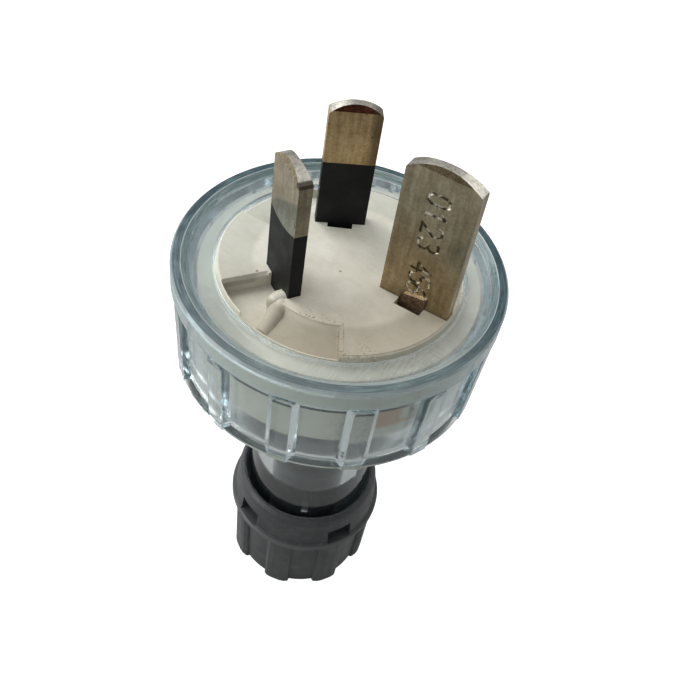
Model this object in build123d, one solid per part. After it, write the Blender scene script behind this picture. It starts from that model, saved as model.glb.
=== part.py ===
from build123d import *
import math
import os

os.makedirs("parts", exist_ok=True)

# Rewireable three-pin plug, standing on the end face of its gland nut with the
# pins up. Origin: centre of the nut's end face. +Z runs up the plug's axis, and
# the earth pin stands on the +X side. Millimetres.

# ------------------------------------------------------------ driving sizes
FACE_Z = 64.0            # level of the pin carrier's front face

# pins (flat-pin pattern, 15 A form with the wide earth pin)
PIN_T = 1.63             # thickness of every blade
AN_W = 6.35              # width of the active and neutral blades
AN_R = 8.03              # centre of those blades from the plug's axis
AN_L = 17.25             # their length from the face
EARTH_W = 9.07
EARTH_R = 10.31
EARTH_L = 19.35
AN_TIP_R = 4.7           # arc of the live blades' ends, in their own plane
EARTH_TIP_R = 7.7        # arc of the earth blade's end
TIP_CORNER = 0.4         # rounding where the arc meets the sides
TIP_CHAMFER = 0.30       # how far a live blade's broad faces are bevelled in at the end
EARTH_CHAMFER = 0.24     # the same on the earth blade
BEVEL_FROM = 0.25        # share of the arc's height at which a live blade's bevel starts
EARTH_BEVEL_FROM = 0.48  # the same on the earth blade
SLEEVE_TOP = 9.25        # top of the moulded insulation, above the face
SLEEVE_FOOT = 3.0        # depth of the insulation below the face
CORE_W = 4.9             # blade inside the insulation
CORE_T = 0.95
TAIL_W = 4.9             # earth blade's tail, in its terminal
TAIL_FOOT = 11.0         # end of each tail, below the face
SLOT_GAP = 0.05
BARB_OUT = 0.30          # how far the pressed barb's edge stands out
ACTIVE_SIT = (0.0, -2.5)     # shift along the width, and turn, in the slot
NEUTRAL_SIT = (0.55, 4.0)

# plain digits stamped into the earth blade, tip to foot
DIGITS = "0123456"
DIGIT_LEVELS = (15.4, 13.35, 11.27, 9.18, 5.63, 4.0, 2.35)
DIGIT_H = 2.55           # across the blade
DIGIT_W = 1.30           # along the blade
DIGIT_STROKE = 0.34
DIGIT_DEPTH = 0.16

# clear front ring
RIM_R = 20.7
RIM_TOP = 0.25           # above the face
LAND_R = 20.42
LAND_IN_R = 19.45
DISH_R = 18.45           # outer edge of the sunken flange
DISH_Z = -0.50
HOLE_R = 15.45
FLANGE_UNDER = -2.20
BAND_Z = -2.55           # lower edge of the plain band
SKIRT_R_TOP = 19.95
SKIRT_R_LOW = 19.45
SKIRT_Z = -15.10         # lower edge of the skirt
LIP_R = 20.12
LIP_H = 0.50
RING_BORE_R = 17.95
RIB_COUNT = 14
RIB_PHASE = 1.0
RIB_W = 2.3              # width at a rib's outer face
RIB_DRAFT = 42.0         # slope of its sides, degrees
RIB_CORNER = 0.75        # rounding of a rib's upper corners
RIB_EDGE = 0.42          # rounding of its outer edges
RIB_R_TOP = 20.62
RIB_LEAN = 2.0           # degrees

# pin carrier
PLATEAU_R = 15.2
CARRIER_FLANGE_R = 17.5
CARRIER_FLANGE_LOW = -4.6
BARREL_R = 15.0
BARREL_IN_R = 14.05
BARREL_LOW = -11.9
DECK_LOW = -5.3          # underside of the solid deck that holds the pins
POCKET_DEPTH = 2.0
RECESS_DEPTH = 0.85
RECESS_IN_R = 10.6
RECESS_FROM = 11.0       # degrees after the pin, to the next figure
RECESS_TO = 60.0
LUG_Y = 2.4              # rounded lug that bears on a live pin's outer face
LUG_R = 0.92
LUG_TOP = 0.24
POST_R = 9.9
POST_D = 5.4
POST_AZ = 49.0
SCREW_BORE_D = 2.0

# terminals
TERM_X0, TERM_X1 = 6.6, 12.2
TERM_Y0, TERM_Y1 = -6.4, 2.6
TERM_Z0, TERM_Z1 = -11.5, -5.5
TUNNEL_D = 4.0
TUNNEL_Y = -3.6
TUNNEL_X = 8.9
TSCREW_D = 3.0
TSCREW_Z = -8.4
THEAD_D = 4.4
THEAD_H = 1.7
RIVET_D = 1.8
RIVET_HEAD_D = 3.0
RIVET_HEAD_H = 0.5

# back plate of the carrier
PLATE_T = 1.5
PLATE_R = 14.6
PLATE_HOLE_D = 5.0
CSCREW_HEAD_D = 4.4
CSCREW_HEAD_H = 1.5
CSCREW_L = 6.5

# gasket and rear housing
GASKET_T = 0.9
HOUSING_R = 17.85
HOUSING_IN_R = 15.6
NECK_R = 9.3
NECK_BORE_R = 5.7
NECK_END = 6.0           # above the base

# gland
NUT_H = 20.2
NUT_MOUTH_R = 9.8
NUT_THREAD_R = 9.37
NUT_FLOOR = 3.0
NUT_HOLE_R = 5.5
LEDGE_R = 12.0
LEDGE_Z = 13.4
COLLAR_R_LOW = 11.45
COLLAR_R_TOP = 11.0
NUT_RIBS = 8
NUT_RIB_W = 3.6
NUT_RIB_PHASE = -78.0
NUT_RIB_R_TOP = 11.5
NUT_RIB_R_LOW = 11.3
NUT_BODY_R_TOP = 10.85
NUT_BODY_R_LOW = 10.45
NOTCH_AZ = (-110.7, -29.7, 69.3, 150.3)
NOTCH_W = 4.0
WASHER_T = 1.0
COLLET_R = 5.5
COLLET_IN_R = 4.4
COLLET_FOOT = 16.0
COLLET_TOP = 37.5
SEAL_IN_R = 4.2
SEAL_R = 5.6
SEAL_FLANGE_R = 8.6
WASHER_IN_R = 5.8


def Z(level):
    """A level given from the carrier's face."""
    return FACE_Z + level


def turned(points):
    """Solid of revolution about Z from (r, z) points."""
    with BuildPart() as p:
        with BuildSketch(Plane.XZ):
            with BuildLine():
                Polyline(*points, close=True)
            make_face()
        revolve(axis=Axis.Z)
    return p.part


def box_between(x0, x1, y0, y1, z0, z1):
    return Pos((x0 + x1) / 2, (y0 + y1) / 2, (z0 + z1) / 2) * Box(
        x1 - x0, y1 - y0, z1 - z0)


def cyl(r, z0, z1, x=0.0, y=0.0):
    return Pos(x, y, (z0 + z1) / 2) * Cylinder(r, z1 - z0)


def prism_xy(points, z0, z1):
    with BuildPart() as p:
        with BuildSketch(Plane.XY.offset(z0)):
            with BuildLine():
                Polyline(*points, close=True)
            make_face()
        extrude(amount=z1 - z0)
    return p.part


def spin(shape, az):
    return Rot(0, 0, az) * shape


# ------------------------------------------------------------ blades
# Every blade is drawn with its broad faces on the local YZ plane: width along
# local Y, thickness along local X, centred on the origin, face level at 0.
def blade(width, length, low, tip_r, inset=TIP_CHAMFER, share=BEVEL_FROM):
    half = width / 2
    corner = length - (tip_r - math.sqrt(tip_r ** 2 - half ** 2))
    with BuildPart() as p:
        with BuildSketch(Plane.YZ):
            with BuildLine():
                l1 = Line((-half, low), (-half, corner))
                ThreePointArc((-half, corner), (0, length), (half, corner))
                Line((half, corner), (half, low))
                Line((half, low), (-half, low))
            make_face()
        extrude(amount=PIN_T / 2, both=True)
    body = p.part
    shoulders = body.edges().filter_by(Axis.X).filter_by_position(
        Axis.Z, corner - 0.05, corner + 0.05)
    body = fillet(shoulders, TIP_CORNER)
    # bevels: from a straight line across the blade up to the end
    rise = (length - corner) * (1 - share)
    foot = length - rise
    for s in (-1, 1):
        with BuildPart() as w:
            with BuildSketch(Plane.XZ):
                with BuildLine():
                    Polyline((s * PIN_T / 2, foot),
                             (s * (PIN_T / 2 - inset), foot + rise),
                             (s * (PIN_T / 2 - inset * 1.6), foot + rise * 1.6),
                             (s * (PIN_T / 2 + 1), foot + rise * 1.6),
                             (s * (PIN_T / 2 + 1), foot), close=True)
                make_face()
            extrude(amount=width, both=True)
        body = body - w.part
    return body


# Strokes of the plain digits, in a cell one wide and one high.
GLYPHS = {
    "0": [[(0.25, 0), (0.75, 0), (1, 0.2), (1, 0.8), (0.75, 1), (0.25, 1), (0, 0.8), (0, 0.2), (0.25, 0)]],
    "1": [[(0.15, 0.76), (0.55, 1), (0.55, 0)]],
    "2": [[(0, 0.8), (0.22, 1), (0.78, 1), (1, 0.8), (1, 0.6), (0, 0), (1, 0)]],
    "3": [[(0, 0.86), (0.22, 1), (0.78, 1), (1, 0.84), (1, 0.66), (0.75, 0.52), (0.4, 0.52)],
          [(0.75, 0.52), (1, 0.38), (1, 0.17), (0.78, 0), (0.22, 0), (0, 0.14)]],
    "4": [[(0.75, 0), (0.75, 1), (0, 0.3), (1, 0.3)]],
    "5": [[(0.95, 1), (0.1, 1), (0.05, 0.56), (0.7, 0.6), (1, 0.43), (1, 0.17), (0.76, 0), (0.22, 0), (0, 0.14)]],
    "6": [[(0.88, 1), (0.45, 0.9), (0.08, 0.58), (0, 0.3), (0.08, 0.09), (0.3, 0), (0.72, 0), (1, 0.16),
           (1, 0.4), (0.75, 0.56), (0.28, 0.56), (0.03, 0.4)]],
}


def stamped_digits():
    """The digits' grooves, cut into the face that looks along local +X."""
    plane = Plane(origin=(PIN_T / 2, 0, 0), x_dir=(0, 0, -1), z_dir=(1, 0, 0))
    marks = None
    for ch, level in zip(DIGITS, DIGIT_LEVELS):
        flat = None
        for line in GLYPHS[ch]:
            for (xa, ya), (xb, yb) in zip(line, line[1:]):
                ax, ay = (xa - 0.5) * DIGIT_W - level, (ya - 0.5) * DIGIT_H
                bx, by = (xb - 0.5) * DIGIT_W - level, (yb - 0.5) * DIGIT_H
                run = math.hypot(bx - ax, by - ay)
                slot = Pos((ax + bx) / 2, (ay + by) / 2) * SlotCenterToCenter(
                    run, DIGIT_STROKE, rotation=math.degrees(math.atan2(by - ay, bx - ax)))
                flat = slot if flat is None else flat + slot
        cut = extrude(plane * flat, amount=DIGIT_DEPTH, both=True)
        marks = cut if marks is None else marks + cut
    return marks


def live_blade():
    top = blade(AN_W, AN_L, SLEEVE_TOP, AN_TIP_R)
    core = box_between(-CORE_T / 2, CORE_T / 2, -CORE_W / 2, CORE_W / 2,
                       -TAIL_FOOT, SLEEVE_TOP + 0.5)
    # the bare metal ends in a shallow arc on the outward broad face
    with BuildPart() as a:
        with BuildSketch(Plane.YZ):
            with BuildLine():
                ThreePointArc((-AN_W / 2 + 0.25, SLEEVE_TOP), (-0.4, SLEEVE_TOP - 0.6),
                              (AN_W / 2 - 0.25, SLEEVE_TOP))
                Line((AN_W / 2 - 0.25, SLEEVE_TOP), (-AN_W / 2 + 0.25, SLEEVE_TOP))
            make_face()
        extrude(amount=PIN_T / 2)
    return top + core + a.part


def live_sleeve(metal):
    whole = box_between(-PIN_T / 2, PIN_T / 2, -AN_W / 2, AN_W / 2,
                        -SLEEVE_FOOT, SLEEVE_TOP)
    return whole - metal


live = live_blade()
sleeve = live_sleeve(live)

# earth blade: drawn the same way, then turned so that its width is radial
earth_local = blade(EARTH_W, EARTH_L, -SLEEVE_FOOT, EARTH_TIP_R,
                    EARTH_CHAMFER, EARTH_BEVEL_FROM)
earth_tail = box_between(-PIN_T / 2, PIN_T / 2, -2.45, -2.45 + TAIL_W,
                         -TAIL_FOOT, -SLEEVE_FOOT + 0.5)
earth_local = earth_local + earth_tail
# pressed barb at the foot of the broad face that looks along local +X
with BuildPart() as bb:
    with BuildSketch(Plane.YZ):
        with BuildLine():
            Polyline((-1.75, -1.9), (1.35, -1.9), (1.55, 1.62), (-1.35, 1.08), close=True)
        make_face()
    extrude(amount=2.0)
with BuildPart() as keep:
    with BuildSketch(Plane.XZ):
        with BuildLine():
            Polyline((0.5, -1.9), (PIN_T / 2 + 0.02, -1.9), (PIN_T / 2 + BARB_OUT * 0.8, 0.9),
                     (PIN_T / 2 + BARB_OUT, 1.9), (0.5, 1.9), close=True)
        make_face()
    extrude(amount=6, both=True)
barb = bb.part & keep.part
earth_local = earth_local - stamped_digits()
earth_local = earth_local + barb
earth_local = earth_local - (Pos(0, -0.9, TSCREW_Z) * Rot(0, 90, 0) * Cylinder(RIVET_D / 2, 8))
# local +X becomes the part's -Y, so the barb looks along -Y; local +Y becomes +X
earth_pin = Pos(EARTH_R, 0, FACE_Z) * Rot(0, 0, -90) * earth_local

AZ_ACTIVE = 240.0        # left pin seen from the front of the socket side
AZ_NEUTRAL = 120.0
LIVE_SIT = {AZ_ACTIVE: ACTIVE_SIT, AZ_NEUTRAL: NEUTRAL_SIT}
RIVET_Y = {AZ_ACTIVE: 0.9, AZ_NEUTRAL: 1.1}


def at_live(shape, az):
    """Place a shape drawn about a live blade: local X radial, outward. Each
    blade sits a little askew in the carrier."""
    shift, turn = LIVE_SIT[az]
    return spin(Pos(AN_R, shift, FACE_Z) * Rot(0, 0, turn) * shape, az)


def live_rivet_hole(az):
    return spin(Pos(9, RIVET_Y[az], Z(TSCREW_Z)) * Rot(0, 90, 0) * Cylinder(RIVET_D / 2, 12), az)


active_pin = at_live(live, AZ_ACTIVE) - live_rivet_hole(AZ_ACTIVE)
neutral_pin = at_live(live, AZ_NEUTRAL) - live_rivet_hole(AZ_NEUTRAL)
active_sleeve = at_live(sleeve, AZ_ACTIVE)
neutral_sleeve = at_live(sleeve, AZ_NEUTRAL)


# ------------------------------------------------------------ pin carrier
def live_slot(az):
    g = SLOT_GAP
    up = box_between(-PIN_T / 2 - g, PIN_T / 2 + g, -AN_W / 2 - g, AN_W / 2 + g,
                     -SLEEVE_FOOT, 2)
    low = box_between(-CORE_T / 2 - g, CORE_T / 2 + g, -CORE_W / 2 - g, CORE_W / 2 + g,
                      -TAIL_FOOT, 0)
    return at_live(up + low, az)


def earth_slot():
    g = SLOT_GAP
    up = box_between(EARTH_R - EARTH_W / 2 - g, EARTH_R + EARTH_W / 2 + g,
                     -PIN_T / 2 - g, PIN_T / 2 + g, Z(-SLEEVE_FOOT), Z(2))
    low = box_between(EARTH_R - 2.45 - g, EARTH_R - 2.45 + TAIL_W + g,
                      -PIN_T / 2 - g, PIN_T / 2 + g, Z(-TAIL_FOOT), Z(0))
    return up + low


def pocket():
    """Deep pocket outboard of a live pin."""
    p = [(8.3, -1.5), (9.19, -1.52), (14.53, -2.2), (16.5, -2.42), (16.5, 7.3), (15.5, 6.6),
         (13.51, 4.92), (12.08, 3.71), (10.68, 2.29), (10.35, 1.75), (10.0, 1.48), (8.3, 1.45)]
    body = prism_xy(p, Z(-POCKET_DEPTH), Z(2))
    # the wall's upper edge is eased
    ease = Pos(12.7, -1.96, Z(0)) * Rot(0, 0, -6.6) * Rot(45, 0, 0) * Box(7.0, 0.55, 0.55)
    return (body & cyl(15.1, Z(-POCKET_DEPTH), Z(2))) + (ease & cyl(15.1, Z(-1), Z(1)))


def recess():
    """Shallow sector beside each pocket, with a coved inner wall, open to the
    plateau's edge."""
    steps = 6
    cove = [(RECESS_IN_R, Z(0.0))]
    for i in range(1, steps + 1):
        a = math.radians(90.0 * i / steps)
        cove.append((RECESS_IN_R + 1.15 * (1 - math.cos(a)), Z(-RECESS_DEPTH * math.sin(a))))
    outline = [(RECESS_IN_R - 0.02, Z(2))] + cove + [(17.0, Z(-RECESS_DEPTH)), (17.0, Z(2))]
    with BuildPart() as p:
        with BuildSketch(Plane.XZ):
            with BuildLine():
                Polyline(*outline, close=True)
            make_face()
        revolve(axis=Axis.Z, revolution_arc=RECESS_TO - RECESS_FROM)
    return spin(p.part, RECESS_FROM)


def live_notch(out):
    return box_between(AN_R - PIN_T / 2 - out, AN_R, -1.1, 2.1, Z(-1.9), Z(1))


def lug():
    """Rounded lug that bears on a live pin's outer face, between the pocket
    and the recess."""
    x0, x1 = 8.5, 10.3
    z = LUG_TOP - LUG_R
    ridge = Pos((x0 + x1) / 2, LUG_Y, Z(z)) * Rot(0, 90, 0) * Cylinder(LUG_R, x1 - x0)
    end = Pos(x1, LUG_Y, Z(z)) * Sphere(LUG_R)
    foot = box_between(x0, x1, LUG_Y - LUG_R, LUG_Y + LUG_R, Z(-POCKET_DEPTH - 0.2), Z(z))
    toe = cyl(LUG_R, Z(-POCKET_DEPTH - 0.2), Z(z), x1, LUG_Y)
    # the lug runs out as a tapering rib between the pocket and the recess
    a, b = Vector(9.90, 3.12, Z(-1.02)), Vector(14.35, 6.75, Z(-1.75))
    run = b - a
    tail = Plane(origin=a + run * 0.5, z_dir=run) * Cone(1.12, 1.05, run.length)
    tail = tail + Pos(a.X, a.Y, a.Z) * Sphere(1.12)
    tail = tail & cyl(PLATEAU_R - 0.25, Z(-POCKET_DEPTH - 0.2), Z(0.3))
    return ridge + end + foot + toe + tail


EARTH_NOTCH = box_between(8.45, 11.85, -PIN_T / 2 - 1.35, 0, Z(-2.0), Z(1))

deck = turned([(0, Z(DECK_LOW)), (BARREL_R, Z(DECK_LOW)), (BARREL_R, Z(CARRIER_FLANGE_LOW)),
               (CARRIER_FLANGE_R, Z(CARRIER_FLANGE_LOW)),
               (CARRIER_FLANGE_R, Z(FLANGE_UNDER) - 0.05),
               (PLATEAU_R, Z(FLANGE_UNDER) - 0.05), (PLATEAU_R, Z(-0.22)),
               (PLATEAU_R - 0.22, Z(0)), (0, Z(0))])
barrel = turned([(BARREL_IN_R, Z(BARREL_LOW)), (BARREL_R, Z(BARREL_LOW)),
                 (BARREL_R, Z(DECK_LOW)), (BARREL_IN_R, Z(DECK_LOW))])
pin_carrier = deck + barrel
for az in (0.0, AZ_ACTIVE, AZ_NEUTRAL):
    # post for a back-plate screw, and a rib that keeps two terminals apart
    post = cyl(POST_D / 2, Z(BARREL_LOW), Z(DECK_LOW), POST_R, 0)
    web = box_between(POST_R, BARREL_IN_R + 0.3, -0.6, 0.6, Z(BARREL_LOW), Z(DECK_LOW))
    pin_carrier = pin_carrier + spin(post + web, az + POST_AZ)
for az in (AZ_ACTIVE, AZ_NEUTRAL):
    pin_carrier = pin_carrier - spin(pocket(), az)
for az in (0.0, AZ_ACTIVE, AZ_NEUTRAL):
    pin_carrier = pin_carrier - spin(recess(), az)
for az in (AZ_ACTIVE, AZ_NEUTRAL):
    pin_carrier = pin_carrier + spin(lug(), az)
    pin_carrier = pin_carrier - spin(live_notch(0.35 if az == AZ_ACTIVE else 0.9), az) - live_slot(az)
pin_carrier = pin_carrier - EARTH_NOTCH - earth_slot()
for az in (0.0, AZ_ACTIVE, AZ_NEUTRAL):
    # window in the barrel wall, in front of each terminal screw
    window = box_between(12.0, 18.0, TUNNEL_Y - 2.9, TUNNEL_Y + 2.9,
                         Z(TSCREW_Z - 2.7), Z(TSCREW_Z + 2.7))
    bore = cyl(SCREW_BORE_D / 2, Z(BARREL_LOW) - 1, Z(BARREL_LOW) + 6.8, POST_R, 0)
    pin_carrier = pin_carrier - spin(window, az) - spin(bore, az + POST_AZ)


# ------------------------------------------------------------ terminals
def terminal(tail):
    """Brass tunnel block: vertical hole for the core, radial clamping screw."""
    block = box_between(TERM_X0, TERM_X1, TERM_Y0, TERM_Y1, Z(TERM_Z0), Z(TERM_Z1))
    block = chamfer(block.edges().filter_by(Axis.Z), 0.5)
    block = block - cyl(TUNNEL_D / 2, Z(TERM_Z0) - 1, Z(TERM_Z1) + 1, TUNNEL_X, TUNNEL_Y)
    block = block - (Pos(11.5, TUNNEL_Y, Z(TSCREW_Z)) * Rot(0, 90, 0) * Cylinder(TSCREW_D / 2, 4))
    return block - tail


g = SLOT_GAP
live_tail = box_between(-CORE_T / 2 - g, CORE_T / 2 + g, -CORE_W / 2 - g, 4.2, -20, 0)
plain_term = terminal(box_between(0, 1, 0, 1, Z(-30), Z(-29)))
earth_tail_slot = box_between(EARTH_R - 2.45 - g, EARTH_R - 2.45 + TAIL_W + g,
                              -PIN_T / 2 - g, PIN_T / 2 + g, Z(-20), Z(0))
earth_term = terminal(earth_tail_slot)
EARTH_RIVET_X = EARTH_R - 0.9
earth_term = earth_term - (Pos(EARTH_RIVET_X, 2.0, Z(TSCREW_Z)) * Rot(90, 0, 0)
                           * Cylinder(RIVET_D / 2, 6.2))
earth_terminal = earth_term
active_terminal = (spin(plain_term, AZ_ACTIVE) - at_live(live_tail, AZ_ACTIVE)
                   - live_rivet_hole(AZ_ACTIVE))
neutral_terminal = (spin(plain_term, AZ_NEUTRAL) - at_live(live_tail, AZ_NEUTRAL)
                    - live_rivet_hole(AZ_NEUTRAL))


def terminal_screw():
    shank = Pos((9.7 + TERM_X1) / 2, TUNNEL_Y, Z(TSCREW_Z)) * Rot(0, 90, 0) * Cylinder(
        TSCREW_D / 2, TERM_X1 - 9.7)
    head = Pos(TERM_X1 + THEAD_H / 2, TUNNEL_Y, Z(TSCREW_Z)) * Rot(0, 90, 0) * Cylinder(
        THEAD_D / 2, THEAD_H)
    slot = box_between(TERM_X1 + THEAD_H - 0.8, TERM_X1 + THEAD_H + 1, TUNNEL_Y - 0.4,
                       TUNNEL_Y + 0.4, Z(TSCREW_Z) - 4, Z(TSCREW_Z) + 4)
    return shank + head - slot


terminal_screws = [spin(terminal_screw(), az) for az in (0.0, AZ_ACTIVE, AZ_NEUTRAL)]


def live_rivet(y):
    x0, x1 = TERM_X0, TERM_X1
    r = Pos((x0 + x1) / 2, y, Z(TSCREW_Z)) * Rot(0, 90, 0) * Cylinder(RIVET_D / 2, x1 - x0)
    h1 = Pos(x0 - RIVET_HEAD_H / 2, y, Z(TSCREW_Z)) * Rot(0, 90, 0) * Cylinder(
        RIVET_HEAD_D / 2, RIVET_HEAD_H)
    h2 = Pos(x1 + RIVET_HEAD_H / 2, y, Z(TSCREW_Z)) * Rot(0, 90, 0) * Cylinder(
        RIVET_HEAD_D / 2, RIVET_HEAD_H)
    return r + h1 + h2


def earth_rivet():
    y0, y1 = -PIN_T / 2 - g, TERM_Y1
    r = Pos(EARTH_RIVET_X, (y0 + y1) / 2, Z(TSCREW_Z)) * Rot(90, 0, 0) * Cylinder(
        RIVET_D / 2, y1 - y0)
    h = Pos(EARTH_RIVET_X, y1 + RIVET_HEAD_H / 2, Z(TSCREW_Z)) * Rot(90, 0, 0) * Cylinder(
        RIVET_HEAD_D / 2, RIVET_HEAD_H)
    return r + h


terminal_rivets = [earth_rivet()] + [spin(live_rivet(RIVET_Y[az]), az)
                                     for az in (AZ_ACTIVE, AZ_NEUTRAL)]


# ------------------------------------------------------------ carrier back plate
plate = turned([(0, Z(BARREL_LOW) - PLATE_T), (PLATE_R, Z(BARREL_LOW) - PLATE_T),
                (PLATE_R, Z(BARREL_LOW)), (0, Z(BARREL_LOW))])
# three-armed wall that keeps the cores apart behind the plate
for az in (0.0, AZ_ACTIVE, AZ_NEUTRAL):
    plate = plate + spin(box_between(0, 11.0, -0.7, 0.7, Z(BARREL_LOW) - PLATE_T - 3.5,
                                     Z(BARREL_LOW) - PLATE_T + 0.1), az + 25.0)
for az in (0.0, AZ_ACTIVE, AZ_NEUTRAL):
    plate = plate - spin(cyl(PLATE_HOLE_D / 2, Z(BARREL_LOW) - 8, Z(BARREL_LOW) + 1,
                             TUNNEL_X, TUNNEL_Y), az)
    plate = plate - spin(cyl(1.3, Z(BARREL_LOW) - 8, Z(BARREL_LOW) + 1, POST_R, 0), az + POST_AZ)
carrier_back_plate = plate


def carrier_screw():
    z = Z(BARREL_LOW) - PLATE_T
    head = cyl(CSCREW_HEAD_D / 2, z - CSCREW_HEAD_H, z, POST_R, 0)
    head = fillet(head.edges().group_by(Axis.Z)[0], 0.6)
    shank = cyl(SCREW_BORE_D / 2, z - 0.1, z + CSCREW_L, POST_R, 0)
    cross = box_between(POST_R - 1.2, POST_R + 1.2, -0.25, 0.25, z - CSCREW_HEAD_H - 1,
                        z - CSCREW_HEAD_H + 0.9)
    cross = cross + Pos(POST_R, 0, 0) * Rot(0, 0, 90) * Pos(-POST_R, 0, 0) * cross
    return head + shank - cross


carrier_screws = [spin(carrier_screw(), az + POST_AZ) for az in (0.0, AZ_ACTIVE, AZ_NEUTRAL)]


# ------------------------------------------------------------ front ring
ring = turned([
    (HOLE_R, Z(FLANGE_UNDER)), (HOLE_R, Z(DISH_Z - 0.28)), (HOLE_R + 0.28, Z(DISH_Z)),
    (DISH_R, Z(DISH_Z)), (DISH_R + 0.35, Z(DISH_Z + 0.12)), (LAND_IN_R, Z(RIM_TOP)),
    (LAND_R, Z(RIM_TOP)), (RIM_R, Z(RIM_TOP - 0.28)), (RIM_R, Z(BAND_Z)),
    (RIM_R - 0.25, Z(BAND_Z - 0.22)), (SKIRT_R_TOP, Z(BAND_Z - 0.35)),
    (SKIRT_R_LOW, Z(SKIRT_Z + LIP_H + 0.45)), (LIP_R, Z(SKIRT_Z + LIP_H)),
    (LIP_R, Z(SKIRT_Z + 0.15)), (LIP_R - 0.15, Z(SKIRT_Z)),
    (RING_BORE_R + 0.4, Z(SKIRT_Z)), (RING_BORE_R, Z(SKIRT_Z + 0.4)),
    (RING_BORE_R, Z(FLANGE_UNDER))])


def grip_rib():
    """One grip rib of the skirt: a bar with sloped sides, rounded upper
    corners and eased outer edges, leaning in with the wall."""
    z1, z0 = Z(BAND_Z) - 0.45, Z(SKIRT_Z) - 2.4
    depth = 1.5
    spread = depth * math.tan(math.radians(RIB_DRAFT))
    half, c, top = RIB_W / 2 + spread, RIB_CORNER + spread, spread
    low = z0 - z1 - spread
    q = c * (1 - math.sqrt(0.5))
    with BuildPart() as p:
        with BuildSketch(Plane.YZ):
            with BuildLine():
                Line((-half, low), (-half, top - c))
                ThreePointArc((-half, top - c), (-half + q, top - q), (-half + c, top))
                Line((-half + c, top), (half - c, top))
                ThreePointArc((half - c, top), (half - q, top - q), (half, top - c))
                Line((half, top - c), (half, low))
                Line((half, low), (-half, low))
            make_face()
        extrude(amount=depth, taper=RIB_DRAFT)
    rib = p.part
    outer = rib.faces().sort_by(Axis.X)[-1]
    eased = [e for e in outer.edges() if e.center().Z > z0 - z1 + 0.2]
    rib = fillet(eased, RIB_EDGE)
    rib = Rot(0, RIB_LEAN, 0) * Pos(-depth, 0, 0) * rib
    return Pos(RIB_R_TOP, 0, z1) * rib


one_rib = grip_rib()
inner_core = cyl(RING_BORE_R + 0.6, Z(SKIRT_Z) - 1, Z(BAND_Z) + 1)
one_rib = one_rib - inner_core
one_rib = one_rib - cyl(30, Z(SKIRT_Z) - 5, Z(SKIRT_Z))
for k in range(RIB_COUNT):
    ring = ring + spin(one_rib, RIB_PHASE + k * 360 / RIB_COUNT)
front_ring = ring

# ------------------------------------------------------------ gasket
body_gasket = turned([
    (BARREL_R + 0.15, Z(CARRIER_FLANGE_LOW) - GASKET_T), (CARRIER_FLANGE_R, Z(CARRIER_FLANGE_LOW) - GASKET_T),
    (CARRIER_FLANGE_R, Z(CARRIER_FLANGE_LOW)), (BARREL_R + 0.15, Z(CARRIER_FLANGE_LOW))])

# ------------------------------------------------------------ rear housing
HT = Z(CARRIER_FLANGE_LOW) - GASKET_T
with BuildPart() as hp:
    with BuildSketch(Plane.XZ):
        with BuildLine():
            Line((HOUSING_IN_R, HT), (HOUSING_R, HT))
            Line((HOUSING_R, HT), (HOUSING_R, Z(-16.0)))
            Spline((HOUSING_R, Z(-16.0)), (16.4, Z(-18.6)), (12.9, Z(-21.6)), (10.3, Z(-24.2)),
                   (NECK_R, Z(-27.4)), tangents=((0, -1), (0, -1)))
            Line((NECK_R, Z(-27.4)), (NECK_R, NECK_END + 0.4))
            Line((NECK_R, NECK_END + 0.4), (NECK_R - 0.4, NECK_END))
            Line((NECK_R - 0.4, NECK_END), (NECK_BORE_R, NECK_END))
            Line((NECK_BORE_R, NECK_END), (NECK_BORE_R, Z(-26.0)))
            Spline((NECK_BORE_R, Z(-26.0)), (7.0, Z(-22.9)), (10.4, Z(-20.0)), (14.2, Z(-17.4)),
                   (HOUSING_IN_R, Z(-15.2)), tangents=((0, 1), (0, 1)))
            Line((HOUSING_IN_R, Z(-15.2)), (HOUSING_IN_R, HT))
        make_face()
    revolve(axis=Axis.Z)
rear_housing = hp.part

# ------------------------------------------------------------ gland nut
nut = turned([
    (NUT_HOLE_R, 0), (NUT_BODY_R_LOW - 0.35, 0), (NUT_BODY_R_LOW, 0.35),
    (NUT_BODY_R_TOP, LEDGE_Z), (LEDGE_R, LEDGE_Z), (LEDGE_R, LEDGE_Z + 0.55),
    (COLLAR_R_LOW, LEDGE_Z + 1.0), (COLLAR_R_TOP, NUT_H - 1.5),
    (COLLAR_R_TOP - 0.22, NUT_H - 0.8), (COLLAR_R_TOP - 0.65, NUT_H - 0.25),
    (NUT_MOUTH_R + 0.55, NUT_H), (NUT_MOUTH_R + 0.25, NUT_H - 0.08),
    (NUT_MOUTH_R, NUT_H - 0.6), (NUT_MOUTH_R, 16.0),
    (NUT_THREAD_R, 15.2), (NUT_THREAD_R, NUT_FLOOR), (NUT_HOLE_R, NUT_FLOOR)])


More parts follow.
